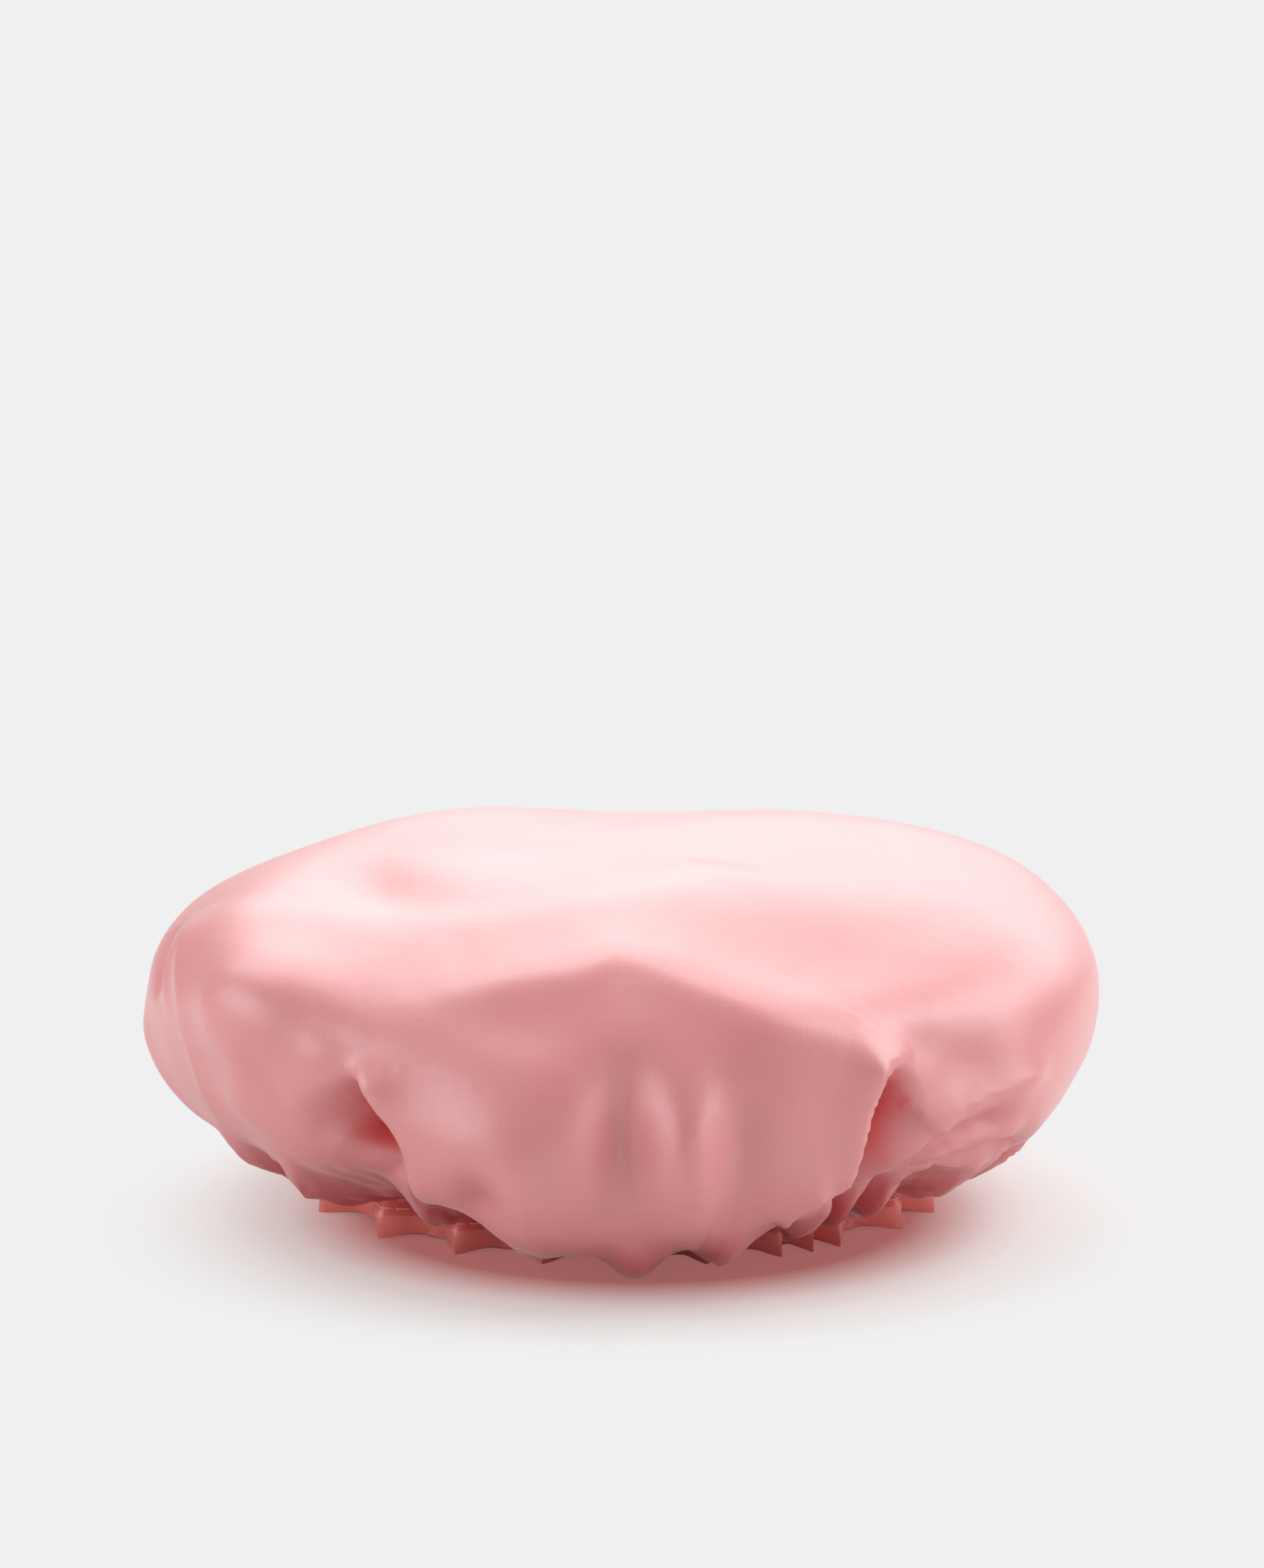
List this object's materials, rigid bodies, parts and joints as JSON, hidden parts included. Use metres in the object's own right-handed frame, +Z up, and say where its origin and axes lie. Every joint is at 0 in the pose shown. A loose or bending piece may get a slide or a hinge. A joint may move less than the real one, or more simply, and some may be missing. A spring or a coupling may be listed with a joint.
{
  "type": "shower cap",
  "caption": "Round, puffed satin shower cap, gathered into an elasticated casing, with a waterproof lining. It stands on its gathered edge with the head opening below.",
  "frame": {"origin": "on the table, under the middle of the cap's outline", "axes": "+Z up through the crown, away from the head opening; -Y is the front that the picture shows"},
  "size_m": [0.2873, 0.2896, 0.108],
  "materials": {
    "satin": "satin",
    "casing_satin": "satin",
    "lining_film": "satin",
    "elastic_knit": "matte",
    "thread": "satin"
  },
  "bodies": {
    "cap": {"outer_shell": "satin", "waterproof_lining": "lining_film", "edge_casing": "casing_satin", "topstitch_needle_thread": "thread", "topstitch_bobbin_thread": "thread", "casing_join_stitch": "thread"},
    "elastic_loop": {"elastic_band": "elastic_knit", "elastic_lap_stitch": "thread"}
  },
  "joints": [
    {"name": "elastic_creep", "type": "hinge", "parent": "cap", "child": "elastic_loop", "pos_m": [0, 0.013, 0.0044], "axis": [0, 0, 1], "continuous": true}
  ]
}
